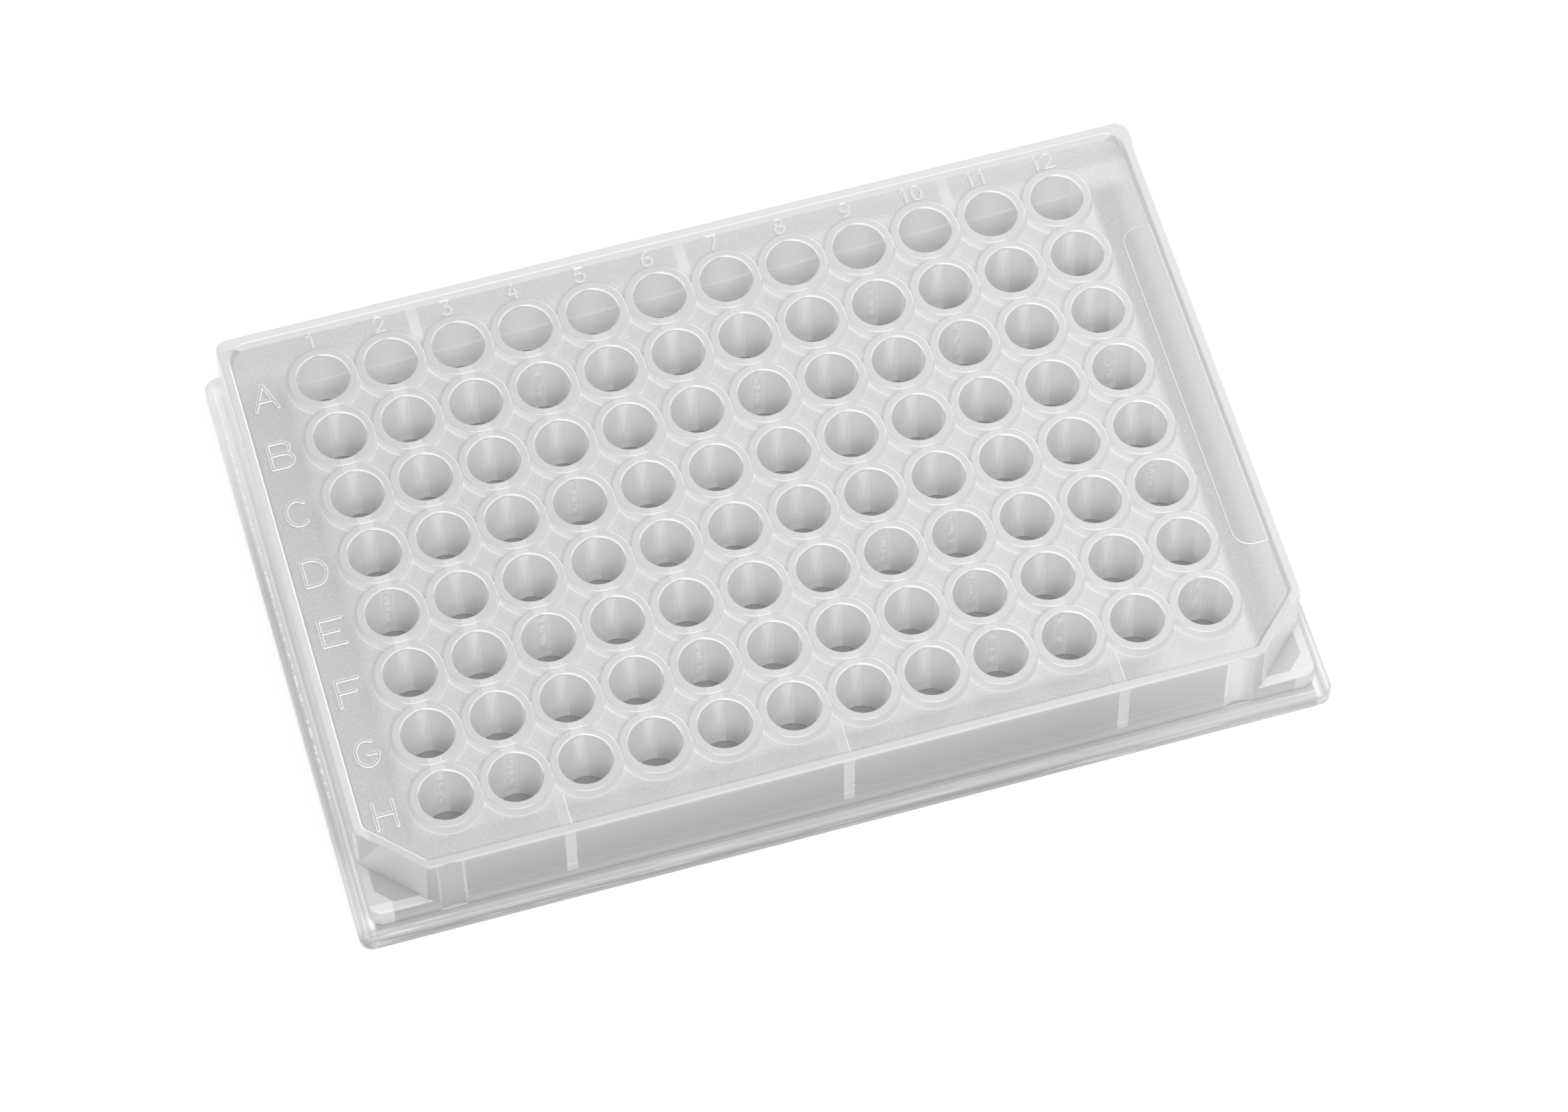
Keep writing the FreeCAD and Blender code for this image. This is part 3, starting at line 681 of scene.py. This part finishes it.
tones = [
    # painted light makes the deck and the lands lighter to the right, and painted shade dims the margins
    ("#CECECF", 0.8, [(across, -50, 60)]),
    ("#B1B1B2", 1.0, [(across, -53.8, -55.3), (along, 36.5, 31), *on_deck]),
    ("#B5B5B6", 0.9, [(along, -35.6, -36.8), (across, 44, 38), *on_deck]),
    ("#B6B6B7", 0.5, [(along, 35.4, 36.2), (along, 38.6, 37.6), *on_deck]),
    ("#B3B3B4", 1.0, [(across, 53.6, 54.6), (across, 59.8, 57.0), (along, 33.5, 31.5), *on_deck]),
    ("#D6D6D7", 0.3, [(grain, 0.5, 0.8), *flat_deck]),
    ("#A6A6A7", 0.25, [(grain, 0.5, 0.2), *flat_deck]),
    # painted light: ribs and other bars show through the deck, and a painted highlight runs along the
    # edge of a rib
    ("#C8C8C9", 0.5, [(off_rib, 0.8, 0.65), (far_x, 40, 39), (far_y, 33.9, 34.2), *flat_deck]),
    ("#D0D0D1", 0.7, [(off_rib, 0.9, 0.5), (far_x, 40, 39), (along, 34.0, 35.2), *flat_deck]),
    ("#F4F4F5", 0.5, [(rib, 0.58, 0.64), (rib, 0.76, 0.7), (far_x, 40, 39), (far_y, 34.6, 35.0),
                      *front, *flat_deck]),
    # the rim and the slope inside it are painted lighter, as if lit from inside along their length
    ("#CBCBCC", 1.0, [(across, -59.8, -60.2), *on_rim]),
    ("#D3D3D4", 1.0, [(along, 39.0, 39.2), *on_rim]),
    ("#D2D2D3", 1.0, [(across, 59.8, 60.2), *on_rim]),
    ("#E4E4E5", 1.0, [(along, 39.0, 39.1), (height, 13.0, 13.05), (height, 14.0, 13.9)]),
    ("#DADADB", 1.0, [(across, 60.0, 60.1), (height, 13.0, 13.05), (height, 14.0, 13.9)]),
    # walls, step and skirt in painted light and shade, the right side painted lighter, with painted
    # highlights on the step and skirt
    (on_long, 1.0, on_long_wall),
    ("#D4D4D5", 0.4, [(out_y, -0.5, -0.4), (across, 30, 50)]),
    (on_short, 1.0, [(far_y, 42.2, 40.4), *on_short_wall]),
    ("#CCCCCD", 0.8, [(across, 0, 1), (out_x, -0.5, -0.4), (height, 3.6, 3.2)]),
    ("#AAAAAB", 0.5, [(streak, 0.58, 0.66), *on_short_wall]),
    ("#F8F8F8", 0.4, [(streak, 0.44, 0.36), *on_short_wall]),
    ("#FFFFFF", 0.6, [(across, -55, -60), (along, 10, 34), *on_short_wall]),
    ("#FFFFFF", 0.9, [(step_highlight, 0.49, 0.55), (out_x, 0.55, 0.65), (out_x, 0.95, 0.85), (height, 2.4, 2.45),
                      (along, -24, -20)]),
    ("#DADADB", 0.6, [(gleam, 0.6, 0.68), (out_y, 0.55, 0.7), (height, 2.6, 2.5)]),
    # ribs behind the long walls show as painted light, and the scoops with their corner pillars get
    # painted light and shade, lighter on the right
    ("#CACACB", 1.0, [(off_rib, 0.74, 0.66), (far_x, 40, 39), (out_y, -0.5, -0.4), (height, 4.2, 4.4),
                      (height, 14.0, 13.8)]),
    ("#B6B6B7", 0.7, [(far_x, 49.4, 49.7), (far_x, 53.2, 52.9), *on_scoop]),
    ("#D0D0D1", 0.7, [(far_x, 49.45, 49.6), (far_x, 49.9, 49.75), *on_scoop]),
    ("#C4C4C5", 0.6, [(far_x, 52.8, 52.95), (far_x, 53.2, 53.05), *on_scoop]),
    ("#E2E2E3", 0.9, [(across, 53.6, 51.5), (across, 49.4, 49.7), (height, 2.7, 3.0), *on_scoop]),
    ("#B0B0B1", 1.0, [(out_y, -0.9, -0.8), *scoop_sill]),
    ("#D0D0D1", 1.0, [(out_y, -0.16, -0.1), *scoop_sill]),
    # front corners: the ledge, the solid post under its outer corner, and the cut wall, in painted light
    # and shade, the right corner painted lighter
    ("#A8A8A9", 1.0, on_ledge),
    ("#C0C0C1", 0.8, [(across, 50, 54), *on_ledge]),
    ("#C6C6C7", 1.0, [(band, -0.08, 0.08), *on_ledge]),
    ("#D8D8D9", 0.8, [(band, -0.08, 0.08), (across, 50, 54), *on_ledge]),
    ("#D8D8D9", 1.0, [(far_x, 58.95, 59.1), (out_y, -1.5, -1.4), (height, 5.8, 5.7), (height, 2.6, 2.7),
                      *front]),
    ("#B4B4B5", 1.0, cut_wall),
    ("#C8C8C9", 1.0, [(lean, -0.3, 0.3), *cut_wall]),
    ("#E4E4E5", 0.7, [(across, 50, 54), *cut_wall]),
    # collar flanks, painted lighter against their shade, most where they face left, and painted light on
    # the land over each web
    ("#E0E0E1", 1.0, on_flank),
    ("#FFFFFF", 0.3, [(faces_right, -0.2, -0.7), *on_flank]),
    ("#CECECF", 0.7, [(height, 14.15, 14.25), (off_x, 0.95, 0.85), (far_y, 33.5, 33.4),
                      (radius, 5, 4.9)]),
    # bores: painted light makes the plastic glow, more toward the floor, and painted shade dims it on
    # the right
    ("#EEEEEE", 1.0, in_bore),
    ("#F2F2F2", 1.0, [(height, 14.35, 3.65), *in_bore]),
    ("#FFFFFF", 0.9, [(height, 9.5, 5.0), (to_right, -0.2, -1.8), *in_bore]),
    ("#DEDEDE", 1.0, [(height, 10.5, 4.2), (to_right, 0.3, 2.2), *in_bore]),
    # the back row's bores have painted light and shade of their own on either side of the painted line
    # of light
    ("#EFEFEF", 1.0, back_bore),
    ("#FFFFFF", 1.0, [(height, 13.0, 5.0), *back_bore]),
    ("#EFEFEF", 1.0, [(over_line, -0.1, -0.25), (to_right, -2, 3), (height, 4.0, 6.0), *back_bore]),
    ("#FFFFFF", 1.0, [(over_line, 0.3, 0.05), (over_line, -0.2, -0.1), *back_bore]),
    # the other bores show their webs as painted strips and wedges of light, some have a bubbly streak,
    # the last column is painted lighter, and painted shade darkens each floor
    ("#FFFFFF", 0.35, [(off_web, 0.95, 0.8), *inner_bore]),
    ("#FFFFFF", 1.0, [(wedge, -0.06, 0.06), *inner_bore]),
    ("#EAEAEA", 0.8, [(chance, 0.82, 0.83), (off_x, 0.8, 0.35), (height, 5.0, 5.6), *inner_bore]),
    ("#FFFFFF", 1.0, [(chance, 0.82, 0.83), (bubble, 0.44, 0.56), (off_x, 0.5, 0.25), (height, 5.6, 7.0),
                      *inner_bore]),
    ("#FFFFFF", 1.0, [(height, 5.1, 4.95), (off_web, 0.95, 0.8), *inner_bore]),
    ("#FFFFFF", 0.7, [(across, 51.8, 52.2), (height, 5.0, 7.0), *in_bore]),
    ("#929293", 1.0, [(height, 3.75, 3.67), *in_bore]),
    # rounded edges get painted highlights, most on the side that the light comes from
    ("#FFFFFF", 0.75, [(toward_light, 2.2, 3.0), (radius, 3.75, 3.65), (height, 14.0, 14.1), *on_edge]),
    ("#F4F4F4", 0.6, [(from_left, 2.8, 3.3), (radius, 3.75, 3.65), (height, 14.0, 14.1), *on_edge]),
    ("#FAFAFA", 1.0, [(faces_lamp, 0.3, 0.6), (radius, 4.3, 4.35), (radius, 4.9, 4.8),
                      (height, 13.9, 14.0), (faces_up, 0.99, 0.95)]),
    ("#F4F4F5", 0.8, [(faces_right, 0.2, 0.35), (height, 13.5, 13.7), (radius, 6, 6.5),
                      (along, 37.5, 35.5), (faces_back, -0.5, -0.2), *on_edge]),
    # letters, numbers and the panel's edge are outlined by painted highlights
    ("#FFFFFF", 0.85, [(faces_up, 0.98, 0.94), (radius, 5.25, 5.3), (far_x, 60.0, 59.9),
                       (along, 39.1, 39.0), (along, -36.5, -36.4), (band_round, 65.9, 65.8),
                       *by_mark]),
    ("#D4D4D5", 0.5, [(along, 36.6, 36.7), (along, 39.1, 39.0), *by_mark]),
]
for tone, strength, limits in tones:
    share = strength
    for value, start, full in limits:
        share = add(pp, RANGE, {0: value, 1: start, 2: full, 4: share})
    tint = tone if isinstance(tone, bpy.types.NodeSocket) else linear(tone)
    colour = add(pp, MIX, {0: share, 6: colour, 7: tint}, data_type="RGBA")

# Polished steel made the walls, rims and collars glossy, and a blasted face frosted the deck. The
# bores are between the two.
frosted = 1.0
for start, full in ((12.94, 12.97), (13.06, 13.03)):
    frosted = add(pp, RANGE, {0: height, 1: start, 2: full, 4: frosted})
bored = 1.0
for value, start, full in in_bore:
    bored = add(pp, RANGE, {0: value, 1: start, 2: full, 4: bored})
matt = add(pp, MATH, {0: frosted, 1: bored}, operation="MAXIMUM")
polish = add(pp, RANGE, {0: matt, 3: 0.5, 4: 0.0})
roughness = add(pp, RANGE, {0: frosted, 3: 0.35, 4: 0.6})
peel = add(pp, NOISE, {"Vector": spot, "Scale": 4.0, "Detail": 3.0})
relief = add(pp, "ShaderNodeBump", {"Strength": 0.6, "Distance": 0.012 * MM, "Height": peel})
# The base colour carries the plastic's own tone and the painted light and shade of the tones.
shader = add(pp, "ShaderNodeBsdfPrincipled", {
    "Base Color": colour,
    "Roughness": roughness,
    "IOR": 1.49,
    "Coat Weight": polish,
    "Coat IOR": 1.5,
    "Coat Roughness": 0.08,
    "Normal": relief,
})
add(pp, "ShaderNodeOutputMaterial", {"Surface": shader})
tray.data.materials.clear()
tray.data.materials.append(pp)
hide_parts("plate")
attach(tray, "root")

# ---- Studio ----
# A pale floor under an even white world, with a soft lamp overhead, one in front and one at the back
# on the right, and the camera above the front, a little to the left. Seen straight or in a gloss,
# the floor is mostly its own even glow, so that its shade doesn't turn it grey.
bpy.ops.object.select_all(action="DESELECT")
bpy.ops.mesh.primitive_plane_add(size=6, location=(0, 0, -0.05 * MM))
floor = bpy.context.object
floor.name = "floor"
white = new_material("white_studio_floor")
paint = add(white, "ShaderNodeBsdfDiffuse", {"Color": linear("#F8F8F8")})
glow = add(white, "ShaderNodeEmission", {"Color": (1, 1, 1, 1), "Strength": 1.0})
path = add(white, "ShaderNodeLightPath", {}).node.outputs
seen = add(white, MATH, {0: path["Is Camera Ray"], 1: path["Is Glossy Ray"]}, operation="ADD")
seen = add(white, MATH, {0: seen, 1: path["Is Transmission Ray"]}, operation="ADD")
seen = add(white, MATH, {0: seen, 1: 0.85}, operation="MULTIPLY")
surface = add(white, "ShaderNodeMixShader", {0: seen, 1: paint, 2: glow})
add(white, "ShaderNodeOutputMaterial", {"Surface": surface})
floor.data.materials.append(white)

scene = bpy.context.scene
world = bpy.data.worlds.new("studio")
world.use_nodes = True
sky = world.node_tree.nodes["Background"].inputs
sky["Color"].default_value = (1, 1, 1, 1)
sky["Strength"].default_value = 0.455
scene.world = world


def softbox(name, place, width, depth, power):
    """A rectangular soft lamp turned toward the plate, with its power in watts."""
    light = bpy.data.lights.new(name, "AREA")
    light.shape = "RECTANGLE"
    light.size = width
    light.size_y = depth
    light.energy = power
    lamp = bpy.data.objects.new(name, light)
    lamp.location = place
    lamp.rotation_euler = (-Vector(place)).to_track_quat("-Z", "Y").to_euler()
    scene.collection.objects.link(lamp)


softbox("overhead", (0.0, 0.0, 0.9), 0.6, 0.6, 1.3)
softbox("key", (-0.03, -0.36, 0.83), 0.6, 0.6, 5.5)
softbox("back_right", (0.57, 0.59, 0.38), 0.6, 0.35, 2.35)
scene.cycles.diffuse_bounces = 12

camera = bpy.data.objects.new("camera", bpy.data.cameras.new("camera"))
camera.location = Vector((-104.796, -384.046, 698.281)) * MM
camera.rotation_euler = [math.radians(turn) for turn in (29.5711, 0.2084, -16.0722)]
camera.data.sensor_width = 36
camera.data.lens = 142.4606
camera.data.clip_start = 0.01
camera.data.clip_end = 20
scene.collection.objects.link(camera)
scene.camera = camera
scene.view_settings.view_transform = "Standard"
